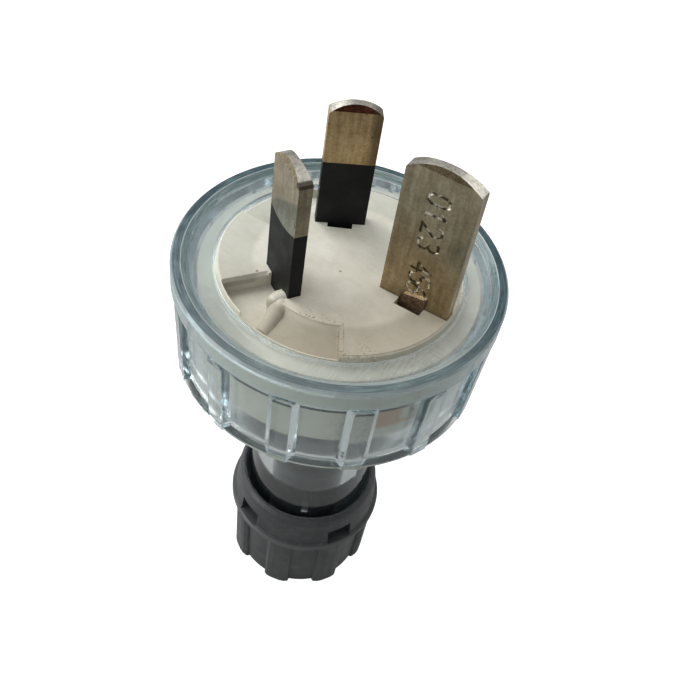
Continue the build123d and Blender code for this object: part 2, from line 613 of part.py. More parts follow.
def nut_rib():
    depth = 2.4
    z0, z1 = 0.0, LEDGE_Z + 0.2
    with BuildPart() as p:
        with BuildSketch(Plane.XY.offset(z0)):
            with BuildLine():
                Polyline((NUT_RIB_R_LOW - depth, -NUT_RIB_W / 2 - 0.5),
                         (NUT_RIB_R_LOW - 0.6, -NUT_RIB_W / 2 - 0.25),
                         (NUT_RIB_R_LOW - 0.12, -NUT_RIB_W / 2 + 0.25),
                         (NUT_RIB_R_LOW + 0.06, -0.8), (NUT_RIB_R_LOW + 0.06, 0.8),
                         (NUT_RIB_R_LOW - 0.12, NUT_RIB_W / 2 - 0.25),
                         (NUT_RIB_R_LOW - 0.6, NUT_RIB_W / 2 + 0.25),
                         (NUT_RIB_R_LOW - depth, NUT_RIB_W / 2 + 0.5), close=True)
            make_face()
        extrude(amount=z1 - z0)
    rib = p.part
    lean = math.degrees(math.atan((NUT_RIB_R_TOP - NUT_RIB_R_LOW) / (z1 - z0)))
    rib = Pos(NUT_RIB_R_LOW, 0, 0) * Rot(0, lean, 0) * Pos(-NUT_RIB_R_LOW, 0, 0) * rib
    return rib


trim = turned([(0, 0), (NUT_RIB_R_LOW - 0.55, 0), (NUT_RIB_R_LOW + 0.1, 0.75),
               (NUT_RIB_R_TOP + 0.3, LEDGE_Z + 0.1), (0, LEDGE_Z + 0.1)])
one_nut_rib = (nut_rib() & trim) - cyl(NUT_THREAD_R + 0.5, -1, LEDGE_Z + 1)
for k in range(NUT_RIBS):
    nut = nut + spin(one_nut_rib, NUT_RIB_PHASE + k * 360 / NUT_RIBS)
notch = box_between(COLLAR_R_TOP - 0.95, COLLAR_R_TOP + 3, -NOTCH_W / 2, NOTCH_W / 2,
                    LEDGE_Z + 0.75, LEDGE_Z + 3.6)
for az in NOTCH_AZ:
    nut = nut - spin(notch, az)
gland_nut = nut

# ------------------------------------------------------------ gland inner parts
slip_washer = turned([(WASHER_IN_R, NUT_FLOOR), (NUT_THREAD_R - 0.15, NUT_FLOOR),
                      (NUT_THREAD_R - 0.15, NUT_FLOOR + WASHER_T), (WASHER_IN_R, NUT_FLOOR + WASHER_T)])
CZ0 = NUT_FLOOR + WASHER_T
collet = turned([(COLLET_IN_R, COLLET_FOOT), (COLLET_R, COLLET_FOOT),
                 (COLLET_R, COLLET_TOP - 0.4), (COLLET_R - 0.4, COLLET_TOP),
                 (COLLET_IN_R, COLLET_TOP)])
for k in range(3):
    collet = collet - spin(box_between(-12, 12, -0.5, 0.5, COLLET_FOOT - 1, COLLET_FOOT + 8.0), k * 60)
cord_collet = collet
# flanged grommet: the flange lies between the washer and the neck's end
cord_seal = turned([(SEAL_IN_R + 0.5, CZ0), (SEAL_FLANGE_R, CZ0), (SEAL_FLANGE_R, CZ0 + 1.6),
                    (SEAL_R, CZ0 + 1.6), (SEAL_R, COLLET_FOOT),
                    (SEAL_IN_R + 0.3, COLLET_FOOT), (SEAL_IN_R, COLLET_FOOT - 1.0), (SEAL_IN_R, CZ0 + 1.0)])

# ------------------------------------------------------------ files
NODES = {
    "front_ring": front_ring,
    "rear_housing": rear_housing,
    "pin_carrier": pin_carrier,
    "carrier_back_plate": carrier_back_plate,
    "earth_pin": earth_pin,
    "active_pin": active_pin,
    "neutral_pin": neutral_pin,
    "active_sleeve": active_sleeve,
    "neutral_sleeve": neutral_sleeve,
    "earth_terminal": earth_terminal,
    "active_terminal": active_terminal,
    "neutral_terminal": neutral_terminal,
    "terminal_screws": terminal_screws,
    "terminal_rivets": terminal_rivets,
    "carrier_screws": carrier_screws,
    "body_gasket": body_gasket,
    "gland_nut": gland_nut,
    "slip_washer": slip_washer,
    "cord_collet": cord_collet,
    "cord_seal": cord_seal,
}
for name, shape in NODES.items():
    if isinstance(shape, list):
        shape = Compound(children=[s.solid() if hasattr(s, "solid") and s.solid() else s for s in shape])
    export_step(shape, f"parts/{name}.step")
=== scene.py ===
import math

import bmesh
import bpy
from mathutils import Matrix, Vector

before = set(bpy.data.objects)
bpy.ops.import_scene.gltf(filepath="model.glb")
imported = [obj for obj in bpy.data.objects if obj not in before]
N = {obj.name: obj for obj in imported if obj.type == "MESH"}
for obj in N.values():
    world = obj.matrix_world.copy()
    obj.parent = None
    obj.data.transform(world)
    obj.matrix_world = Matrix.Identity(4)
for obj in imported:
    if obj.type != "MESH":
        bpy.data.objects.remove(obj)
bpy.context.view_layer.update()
MM = 0.001
FACE = 64.0 * MM                 # level of the carrier's front face

scene = bpy.context.scene

# ------------------------------------------------------------ camera
cam_data = bpy.data.cameras.new("camera")
cam_data.sensor_width = 36.0
cam_data.lens = 44.01
cam_data.clip_start = 0.005
cam_data.clip_end = 20.0
cam = bpy.data.objects.new("camera", cam_data)
scene.collection.objects.link(cam)
RIGHT = Vector((0.849138, 0.512313, 0.128444))
UP = Vector((-0.460388, 0.598760, 0.655384))
BACK = Vector((0.258856, -0.615646, 0.744294))
AT = Vector((0.032787, -0.070325, 0.134887))
cam.matrix_world = Matrix((
    (RIGHT.x, UP.x, BACK.x, AT.x),
    (RIGHT.y, UP.y, BACK.y, AT.y),
    (RIGHT.z, UP.z, BACK.z, AT.z),
    (0, 0, 0, 1)))
scene.camera = cam

# ------------------------------------------------------------ light and floor
scene.view_settings.view_transform = "Standard"
scene.view_settings.look = "None"
scene.cycles.use_denoising = True
scene.cycles.max_bounces = 16
scene.cycles.transmission_bounces = 14
scene.cycles.glossy_bounces = 6
scene.cycles.diffuse_bounces = 4
scene.cycles.transparent_max_bounces = 16
scene.cycles.sample_clamp_indirect = 6.0

world = bpy.data.worlds.new("studio")
scene.world = world
world.use_nodes = True
wn = world.node_tree
wn.nodes.clear()
w_out = wn.nodes.new("ShaderNodeOutputWorld")
w_bg = wn.nodes.new("ShaderNodeBackground")
w_bg.inputs["Strength"].default_value = 0.50
w_tc = wn.nodes.new("ShaderNodeTexCoord")
w_sep = wn.nodes.new("ShaderNodeSeparateXYZ")
w_ramp = wn.nodes.new("ShaderNodeValToRGB")
w_ramp.color_ramp.elements[0].position = 0.05
w_ramp.color_ramp.elements[0].color = (0.46, 0.48, 0.48, 1)
w_ramp.color_ramp.elements[1].position = 0.80
w_ramp.color_ramp.elements[1].color = (1.0, 1.0, 1.0, 1)
wn.links.new(w_tc.outputs["Generated"], w_sep.inputs[0])
wn.links.new(w_sep.outputs["Z"], w_ramp.inputs[0])
wn.links.new(w_ramp.outputs["Color"], w_bg.inputs["Color"])
wn.links.new(w_bg.outputs[0], w_out.inputs["Surface"])


def area(name, at, look, size, power, colour=(1, 1, 1)):
    data = bpy.data.lights.new(name, "AREA")
    data.shape = "DISK"
    data.size = size
    data.energy = power
    data.color = colour
    ob = bpy.data.objects.new(name, data)
    scene.collection.objects.link(ob)
    ob.location = at
    ob.rotation_euler = (Vector(look) - Vector(at)).to_track_quat("-Z", "Y").to_euler()
    return ob


area("key", (-0.42, 0.06, 0.50), (0, 0, 0.05), 0.50, 3.0)
area("fill", (-0.40, -0.42, 0.22), (0, 0, 0.05), 0.40, 1.5)
area("crown", (0.30, 0.43, 0.55), (0, 0, 0.07), 0.54, 0.86)

floor_mesh = bpy.data.meshes.new("floor")
bm = bmesh.new()
bmesh.ops.create_circle(bm, cap_ends=True, radius=3.0, segments=96)
bm.to_mesh(floor_mesh)
bm.free()
floor = bpy.data.objects.new("floor", floor_mesh)
scene.collection.objects.link(floor)


# ------------------------------------------------------------ material helpers
class Mat:
    """A node material with short calls for the nodes used here."""

    def __init__(self, name):
        self.m = bpy.data.materials.new(name)
        self.m.use_nodes = True
        self.nt = self.m.node_tree
        self.nt.nodes.clear()
        self.out = self.nt.nodes.new("ShaderNodeOutputMaterial")
        self.p = self.nt.nodes.new("ShaderNodeBsdfPrincipled")
        self.nt.links.new(self.p.outputs[0], self.out.inputs["Surface"])
        self.tc = self.nt.nodes.new("ShaderNodeTexCoord")
        self.obj = self.tc.outputs["Object"]

    def set(self, **kw):
        for k, v in kw.items():
            self.p.inputs[k.replace("_", " ")].default_value = v
        return self

    def link(self, a, b):
        self.nt.links.new(a, b)

    def node(self, kind, **props):
        n = self.nt.nodes.new(kind)
        for k, v in props.items():
            setattr(n, k, v)
        return n

    def _in(self, node, index, value):
        if value is None:
            return
        if hasattr(value, "links") or hasattr(value, "is_linked"):
            self.link(value, node.inputs[index])
        else:
            node.inputs[index].default_value = value

    def math(self, op, a, b=None, c=None, clamp=False):
        n = self.node("ShaderNodeMath", operation=op, use_clamp=clamp)
        self._in(n, 0, a)
        self._in(n, 1, b)
        self._in(n, 2, c)
        return n.outputs[0]

    def mapping(self, scale=(1, 1, 1), rot=(0, 0, 0), loc=(0, 0, 0), vec=None):
        n = self.node("ShaderNodeMapping")
        n.inputs["Scale"].default_value = scale
        n.inputs["Rotation"].default_value = rot
        n.inputs["Location"].default_value = loc
        self.link(vec or self.obj, n.inputs["Vector"])
        return n.outputs[0]

    def noise(self, scale, detail=3.0, rough=0.5, vec=None, distortion=0.0):
        n = self.node("ShaderNodeTexNoise")
        n.inputs["Scale"].default_value = scale
        n.inputs["Detail"].default_value = detail
        n.inputs["Roughness"].default_value = rough
        n.inputs["Distortion"].default_value = distortion
        self.link(vec or self.obj, n.inputs["Vector"])
        return n.outputs["Fac"]

    def voronoi(self, scale, vec=None, feature="F1", randomness=1.0):
        n = self.node("ShaderNodeTexVoronoi", feature=feature)
        n.inputs["Scale"].default_value = scale
        n.inputs["Randomness"].default_value = randomness
        self.link(vec or self.obj, n.inputs["Vector"])
        return n

    def ramp(self, fac, stops, interp="LINEAR"):
        n = self.node("ShaderNodeValToRGB")
        n.color_ramp.interpolation = interp
        els = n.color_ramp.elements
        while len(els) < len(stops):
            els.new(0.5)
        for e, (pos, col) in zip(els, stops):
            e.position = pos
            if isinstance(col, (int, float)):
                col = (col, col, col)
            e.color = (*col[:3], 1)
        self.link(fac, n.inputs[0])
        return n.outputs["Color"]

    def rng(self, value, a, b, c=0.0, d=1.0, smooth=True):
        n = self.node("ShaderNodeMapRange")
        n.interpolation_type = "SMOOTHSTEP" if smooth else "LINEAR"
        n.inputs["From Min"].default_value = a
        n.inputs["From Max"].default_value = b
        n.inputs["To Min"].default_value = c
        n.inputs["To Max"].default_value = d
        self.link(value, n.inputs["Value"])
        return n.outputs["Result"]

    def mix(self, fac, a, b, blend="MIX"):
        n = self.node("ShaderNodeMix", data_type="RGBA", blend_type=blend)
        for index, value in ((0, fac), (6, a), (7, b)):
            if isinstance(value, tuple):
                value = (*value[:3], 1)
            self._in(n, index, value)
        return n.outputs[2]

    def bump(self, height, strength=0.3, distance=0.0001, normal=None):
        n = self.node("ShaderNodeBump")
        n.inputs["Strength"].default_value = strength
        n.inputs["Distance"].default_value = distance
        self.link(height, n.inputs["Height"])
        if normal is not None:
            self.link(normal, n.inputs["Normal"])
        return n.outputs[0]

    def xyz(self):
        n = self.node("ShaderNodeSeparateXYZ")
        self.link(self.obj, n.inputs[0])
        return n.outputs[0], n.outputs[1], n.outputs[2]

    def polar(self):
        """Distance from the plug's axis in metres, azimuth in degrees, level."""
        x, y, z = self.xyz()
        r = self.math("SQRT", self.math("ADD", self.math("MULTIPLY", x, x),
                                        self.math("MULTIPLY", y, y)))
        az = self.math("MULTIPLY", self.math("ARCTAN2", y, x), 57.29578)
        return r, az, z

    def band(self, value, a, b, soft):
        """1 between a and b, fading over soft outside them."""
        return self.math("MULTIPLY", self.rng(value, a - soft, a),
                         self.rng(value, b, b + soft, 1.0, 0.0))

    def facing(self, axis):
        """How far the surface looks along an axis of the part, -1 to 1."""
        n = self.node("ShaderNodeVectorMath", operation="DOT_PRODUCT")
        self.link(self.tc.outputs["Normal"], n.inputs[0])
        n.inputs[1].default_value = axis
        return n.outputs["Value"]

    def along(self, axis):
        """Position along an axis of the part, metres."""
        n = self.node("ShaderNodeVectorMath", operation="DOT_PRODUCT")
        self.link(self.obj, n.inputs[0])
        n.inputs[1].default_value = axis
        return n.outputs["Value"]

    def most(self, *values):
        out = values[0]
        for v in values[1:]:
            out = self.math("MAXIMUM", out, v)
        return out

    def times(self, *values):
        out = values[0]
        for v in values[1:]:
            out = self.math("MULTIPLY", out, v)
        return out

    def near(self, centre, radius, soft):
        """1 close to a point, fading to 0 at radius + soft; metres."""
        d = self.node("ShaderNodeVectorMath", operation="DISTANCE")
        self.link(self.obj, d.inputs[0])
        d.inputs[1].default_value = centre
        return self.rng(d.outputs["Value"], radius, radius + soft, 1.0, 0.0)


def put(name, material):
    ob = N[name]
    ob.data.materials.clear()
    ob.data.materials.append(material.m)


# ------------------------------------------------------------ floor material
fl = Mat("floor_paper")
fl.set(Roughness=0.85)
fl.p.inputs["Specular IOR Level"].default_value = 0.1
fl.link(fl.ramp(fl.noise(30, 4), [(0.35, (0.33, 0.33, 0.33)), (0.65, (0.36, 0.36, 0.36))]),
        fl.p.inputs["Base Color"])
fl.p.inputs["Emission Color"].default_value = (1, 1, 1, 1)
fl.p.inputs["Emission Strength"].default_value = 0.97
# what the object reflects and lets through is a quieter, greyer ground,
# painted lighter towards the key light and darker on the far side, with a painted glow of its own that softens the
# object's shadow
fl_lp = fl.node("ShaderNodeLightPath")
fl_x, fl_y, fl_z = fl.xyz()
fl_dim = fl.node("ShaderNodeBsdfDiffuse")
fl.link(fl.ramp(fl.rng(fl_x, -0.10, 0.09, smooth=False),
                [(0.0, (0.28, 0.28, 0.275)), (0.5, (0.25, 0.252, 0.246)), (1.0, (0.20, 0.202, 0.20))]),
        fl_dim.inputs["Color"])
fl_glow = fl.node("ShaderNodeEmission")
fl_glow.inputs["Strength"].default_value = 1.0
fl.link(fl.ramp(fl.rng(fl_x, -0.10, 0.09, smooth=False),
                [(0.0, (0.20, 0.20, 0.197)), (0.5, (0.23, 0.232, 0.227)), (1.0, (0.22, 0.223, 0.22))]),
        fl_glow.inputs["Color"])
fl_soft = fl.node("ShaderNodeAddShader")
fl.link(fl_dim.outputs[0], fl_soft.inputs[0])
fl.link(fl_glow.outputs[0], fl_soft.inputs[1])
fl_mx = fl.node("ShaderNodeMixShader")
fl.link(fl_lp.outputs["Is Camera Ray"], fl_mx.inputs[0])
fl.link(fl_soft.outputs[0], fl_mx.inputs[1])
fl.link(fl.p.outputs[0], fl_mx.inputs[2])
fl.link(fl_mx.outputs[0], fl.out.inputs["Surface"])
floor.data.materials.append(fl.m)


# ------------------------------------------------------------ clear plastic
def lamps_through(c, tint):
    """Lamps reach what lies behind the plastic."""
    lp = c.node("ShaderNodeLightPath")
    clear = c.node("ShaderNodeBsdfTransparent")
    clear.inputs["Color"].default_value = (*tint, 1)
    mx = c.node("ShaderNodeMixShader")
    c.link(c.math("MAXIMUM", lp.outputs["Is Shadow Ray"], lp.outputs["Is Diffuse Ray"]),
           mx.inputs[0])
    c.link(c.p.outputs[0], mx.inputs[1])
    c.link(clear.outputs[0], mx.inputs[2])
    c.link(mx.outputs[0], c.out.inputs["Surface"])


def absorb(c, colour, density):
    va = c.node("ShaderNodeVolumeAbsorption")
    va.inputs["Color"].default_value = (*colour, 1)
    va.inputs["Density"].default_value = density
    c.link(va.outputs[0], c.out.inputs["Volume"])


ring = Mat("clear_ring")
ring.set(IOR=1.57)
rr, raz, rz = ring.polar()
top = ring.rng(rz, FACE - 0.75 * MM, FACE - 0.45 * MM)
up = ring.rng(ring.facing((0, 0, 1)), 0.15, 0.4)
land = ring.times(ring.band(rr, 19.50 * MM, 20.44 * MM, 0.03 * MM), top, up)
slope = ring.times(ring.band(rr, 18.62 * MM, 19.38 * MM, 0.10 * MM), top, up)
# painted highlight lines along the land's inner edge and the rim's outer top edge
edge = ring.times(ring.band(rr, 19.415 * MM, 19.475 * MM, 0.03 * MM), top)
rim = ring.times(ring.band(rr, 20.47 * MM, 20.75 * MM, 0.03 * MM),
                 ring.rng(rz, FACE - 0.12 * MM, FACE - 0.04 * MM))
wall = ring.times(ring.rng(rr, 20.50 * MM, 20.60 * MM),
                  ring.band(rz, FACE - 2.6 * MM, FACE - 0.12 * MM, 0.05 * MM))
# turned streaks that run round the rim
ring_round = ring.node("ShaderNodeCombineXYZ")
ring.link(ring.math("MULTIPLY", rr, 5200.0), ring_round.inputs[0])
ring.link(ring.math("MULTIPLY", raz, 0.11), ring_round.inputs[1])
streak = ring.noise(1.0, 3, 0.6, vec=ring_round.outputs[0])
blotch = ring.noise(260, 3)
# painted shade: the land and step are painted dark teal for the dark seen down into the clear rim; the streaks and
# blotches in them are turned marks
land_shade_and_streaks = ring.ramp(ring.math("ADD", ring.math("MULTIPLY", streak, 0.65), ring.math("MULTIPLY", blotch, 0.35)),
                 [(0.30, (0.008, 0.026, 0.036)), (0.50, (0.032, 0.068, 0.082)), (0.70, (0.13, 0.20, 0.22))])
# painted light: the land and step are painted lighter and greyer towards the front
front_light = ring.rng(ring.along((0.52, -0.85, 0.0)), 0.006, 0.019)
land_shade_and_streaks = ring.mix(ring.math("MULTIPLY", front_light, 0.7), land_shade_and_streaks, ring.mix(1.0, land_shade_and_streaks, (0.11, 0.115, 0.105), "ADD"))
mid = ring.ramp(streak, [(0.30, (0.10, 0.155, 0.168)), (0.68, (0.26, 0.345, 0.36))])
mid = ring.mix(front_light, mid, (0.36, 0.40, 0.385))
flange = ring.times(ring.rng(rr, 18.55 * MM, 18.75 * MM, 1.0, 0.0), top, up)
# painted shade: the flange is painted darker towards the front-left, where shade falls; the mottling and milling lines
# laid over it are its own marks
west = ring.rng(ring.along((-0.90, -0.43, 0.0)), 0.002, 0.015)
flange_shade_and_marks = ring.mix(west, (0.90, 0.895, 0.885), (0.52, 0.55, 0.565))
flange_shade_and_marks = ring.mix(1.0, flange_shade_and_marks, ring.ramp(ring.noise(150, 4, 0.6), [(0.36, (0.80, 0.81, 0.82)), (0.62, (1.0, 1.0, 1.0))]),
                   "MULTIPLY")
col = ring.mix(ring.math("MULTIPLY", wall, 1.0), (1.0, 1.0, 1.0), (0.62, 0.70, 0.71))
hatch = ring.noise(1.0, 2, vec=ring.mapping(scale=(5200, 420, 300), rot=(0, 0, math.radians(40))))
hatch2 = ring.noise(1.0, 2, vec=ring.mapping(scale=(380, 4600, 300), rot=(0, 0, math.radians(-22))))
dish = ring.times(ring.band(rr, 16.2 * MM, 18.7 * MM, 0.5 * MM), top)
patch_a = ring.times(dish, ring.band(raz, -72.0, -24.0, 10.0))
patch_b = ring.times(dish, ring.band(raz, -34.0, 6.0, 12.0), ring.rng(ring.noise(420, 2), 0.42, 0.6))
lines_a = ring.ramp(hatch, [(0.40, (0.62, 0.64, 0.65)), (0.56, (1.12, 1.12, 1.12))])
lines_b = ring.ramp(hatch2, [(0.40, (0.66, 0.68, 0.69)), (0.56, (1.10, 1.10, 1.10))])
flange_shade_and_marks = ring.mix(ring.math("MULTIPLY", patch_a, 0.6), flange_shade_and_marks, ring.mix(1.0, flange_shade_and_marks, lines_a, "MULTIPLY"))
flange_shade_and_marks = ring.mix(ring.math("MULTIPLY", patch_b, 0.7), flange_shade_and_marks, ring.mix(1.0, flange_shade_and_marks, lines_b, "MULTIPLY"))
col = ring.mix(flange, col, flange_shade_and_marks)
col = ring.mix(slope, col, mid)
col = ring.mix(land, col, land_shade_and_streaks)
# painted highlight: thin light lines on the land's inner edge and the outer rim
col = ring.mix(ring.most(edge, rim), col, (0.62, 0.69, 0.70))
ring.link(col, ring.p.inputs["Base Color"])
trans = ring.math("SUBTRACT", 1.0, ring.most(
    ring.math("MULTIPLY", land, 0.92), ring.math("MULTIPLY", slope, 0.80),
    ring.math("MULTIPLY", wall, 0.22), ring.math("MULTIPLY", edge, 0.45),
    ring.math("MULTIPLY", rim, 0.35), ring.math("MULTIPLY", flange, 0.12)))
ring.link(trans, ring.p.inputs["Transmission Weight"])
# the milling marks also catch the light
bore = ring.times(ring.rng(rr, 18.05 * MM, 18.15 * MM, 1.0, 0.0), ring.rng(rz, FACE - 2.4 * MM, FACE - 2.3 * MM, 1.0, 0.0))
skirt = ring.times(ring.rng(rr, 19.2 * MM, 19.4 * MM), ring.rng(rz, FACE - 2.6 * MM, FACE - 2.5 * MM, 1.0, 0.0))
lip = ring.times(ring.rng(rr, 15.55 * MM, 15.75 * MM, 1.0, 0.0), ring.rng(rz, FACE - 2.6 * MM, FACE - 2.5 * MM))
under = ring.times(ring.rng(rr, 19.4 * MM, 19.5 * MM, 1.0, 0.0), ring.rng(rz, FACE - 2.6 * MM, FACE - 2.5 * MM),
                   ring.rng(ring.facing((0, 0, 1)), -0.5, -0.3, 1.0, 0.0))
rough = ring.math("ADD", ring.rng(ring.noise(160, 4), 0.45, 0.7, 0.03, 0.07), ring.most(
    ring.math("MULTIPLY", flange, 0.20), ring.math("MULTIPLY", lip, 0.50), ring.math("MULTIPLY", under, 0.22),
    ring.math("MULTIPLY", skirt, 0.09),
    ring.math("MULTIPLY", ring.most(land, slope), 0.22), ring.math("MULTIPLY", patch_a, 0.26),
    ring.math("MULTIPLY", patch_b, 0.14), ring.math("MULTIPLY", bore, 0.06),
    ring.math("MULTIPLY", ring.most(edge, rim), 0.20), ring.math("MULTIPLY", wall, 0.10)))
ring.link(rough, ring.p.inputs["Roughness"])
n1 = ring.bump(ring.noise(110, 2), 0.05, 0.0004)
n1 = ring.bump(ring.times(streak, ring.most(land, slope)), 0.35, 0.00010, n1)
n1 = ring.bump(ring.math("ADD", ring.times(hatch, patch_a), ring.times(hatch2, patch_b)), 0.55, 0.00010, n1)
ring.link(n1, ring.p.inputs["Normal"])
lamps_through(ring, (0.965, 0.98, 0.982))
absorb(ring, (0.26, 0.56, 0.64), 56.0)
put("front_ring", ring)

house = Mat("clear_housing")
house.set(IOR=1.57)
house.p.inputs["Transmission Weight"].default_value = 1.0
# painted shade: the narrow bore is painted dark above the collet, a dark sheet standing in for the shade of the cord
# grip
hr, haz, hz = house.polar()
bore_shade = house.times(house.rng(hr, 7.3 * MM, 7.5 * MM, 1.0, 0.0), house.band(hz, 30.0 * MM, 48.0 * MM, 3.0 * MM))
house.link(house.mix(bore_shade, (1.0, 1.0, 1.0), (0.13, 0.165, 0.18)), house.p.inputs["Base Color"])
house.link(house.rng(house.noise(160, 4), 0.45, 0.7, 0.03, 0.08), house.p.inputs["Roughness"])
house.link(house.bump(house.noise(90, 2), 0.05, 0.0004), house.p.inputs["Normal"])
lamps_through(house, (0.965, 0.98, 0.982))
absorb(house, (0.28, 0.57, 0.64), 26.0)
put("rear_housing", house)

# ------------------------------------------------------------ white carrier
w = Mat("white_moulding")
w.set(Roughness=0.6)
w.p.inputs["Specular IOR Level"].default_value = 0.35
w.p.inputs["Subsurface Weight"].default_value = 0.15
w.p.inputs["Subsurface Radius"].default_value = (0.0012, 0.0009, 0.0006)
wr, waz, wz = w.polar()
base = w.ramp(w.noise(220, 5, 0.6), [(0.30, (0.63, 0.615, 0.53)), (0.7, (0.71, 0.70, 0.62))])
# the recess floors are darker and browner, and painted shade makes the front of the face darker and warmer
low_floor = w.times(w.band(wz, FACE - 1.0 * MM, FACE - 0.10 * MM, 0.25 * MM),
                    w.rng(wr, 10.3 * MM, 11.4 * MM), w.rng(wr, 15.0 * MM, 15.1 * MM, 1.0, 0.0))
front = w.rng(w.along((0.62, -0.78, 0.0)), -0.004, 0.015)
face_tone_and_shade = w.mix(w.math("MULTIPLY", low_floor, 0.80), base, w.mix(front, (0.43, 0.45, 0.38), (0.345, 0.315, 0.25)))
# uneven whiteness of the worn, slightly grubby face
grub = w.ramp(w.noise(520, 5, 0.65), [(0.34, (0.94, 0.93, 0.91)), (0.50, (1.0, 1.0, 1.0)), (0.68, (1.03, 1.035, 1.04))])
face_tone_and_shade = w.mix(1.0, face_tone_and_shade, grub, "MULTIPLY")
fibre = w.noise(1.0, 3, 0.7, vec=w.mapping(scale=(700, 3600, 900), rot=(0, 0, math.radians(-20))))
face_tone_and_shade = w.mix(1.0, face_tone_and_shade, w.ramp(fibre, [(0.34, (0.97, 0.965, 0.96)), (0.60, (1.015, 1.015, 1.015))]), "MULTIPLY")
# painted shade: the front of the face darker and warmer, where the light falls off
face_tone_and_shade = w.mix(w.math("MULTIPLY", front, 0.75), face_tone_and_shade, w.mix(1.0, face_tone_and_shade, (0.86, 0.80, 0.72), "MULTIPLY"))
# specks trodden into the worn edges
specks = w.rng(w.voronoi(3100).outputs["Distance"], 0.24, 0.44, 1.0, 0.0)
some = w.rng(w.noise(1900, 2), 0.40, 0.52)
worn = w.most(
    w.times(w.band(wr, 14.70 * MM, 15.12 * MM, 0.25 * MM), w.band(waz, -58.5, -43.0, 2.5)),
    w.times(w.band(waz, -60.6, -58.4, 1.0), w.band(wr, 10.3 * MM, 14.9 * MM, 0.2 * MM)),
    w.times(w.band(wr, 10.10 * MM, 10.50 * MM, 0.15 * MM), w.band(waz, -88.0, -60.0, 3.0)),
    w.times(w.band(wr, 14.75 * MM, 15.12 * MM, 0.15 * MM), w.band(waz, 1.0, 21.0, 2.0)),
    w.math("MULTIPLY", w.times(w.band(wr, 12.4 * MM, 15.0 * MM, 1.3 * MM), w.band(waz, -58.0, -46.0, 7.0),
                               w.rng(w.noise(800, 2), 0.40, 0.55)), 0.55),
    w.math("MULTIPLY", w.times(w.band(wr, 9.0 * MM, 10.4 * MM, 0.5 * MM), w.band(waz, -92.0, -62.0, 4.0),
                               w.rng(w.noise(800, 2), 0.44, 0.56)), 0.40),
    w.math("MULTIPLY", w.near((0.0052, -0.0108, FACE), 0.0006, 0.0006), 0.8),
    w.math("MULTIPLY", w.near((-0.0042, 0.0040, FACE), 0.0008, 0.0016), 0.35))
dirt = w.times(specks, some, worn)
rare = w.times(w.rng(w.voronoi(420).outputs["Distance"], 0.03, 0.06, 1.0, 0.0),
               w.rng(w.noise(90, 2), 0.55, 0.6))
single = w.most(w.near((0.00066, -0.00155, FACE), 0.00012, 0.00008),
                w.near((-0.0072, -0.00782, FACE), 0.00016, 0.00006))
# rust-brown stain low on the barrel, seen through the skirt
stain = w.times(w.rng(wr, 14.6 * MM, 14.8 * MM), w.band(wz, FACE - 10.4 * MM, FACE - 6.8 * MM, 0.9 * MM),
                w.band(waz, -40.0, -22.0, 4.0), w.rng(w.noise(420, 3), 0.36, 0.50))
w.link(w.mix(w.most(w.math("MULTIPLY", dirt, 0.78), w.math("MULTIPLY", rare, 0.5),
                    w.math("MULTIPLY", single, 0.8)),
             w.mix(w.math("MULTIPLY", stain, 0.92), face_tone_and_shade, (0.50, 0.22, 0.06)), (0.26, 0.17, 0.10)),
       w.p.inputs["Base Color"])
hgt = w.math("ADD", w.noise(1500, 4, 0.6), w.math("MULTIPLY", w.noise(300, 2), 0.8))
w.link(w.bump(w.times(w.noise(2600, 3), worn), 0.5, 0.00016, w.bump(hgt, 0.25, 0.00008)),
       w.p.inputs["Normal"])
put("pin_carrier", w)
put("carrier_back_plate", w)


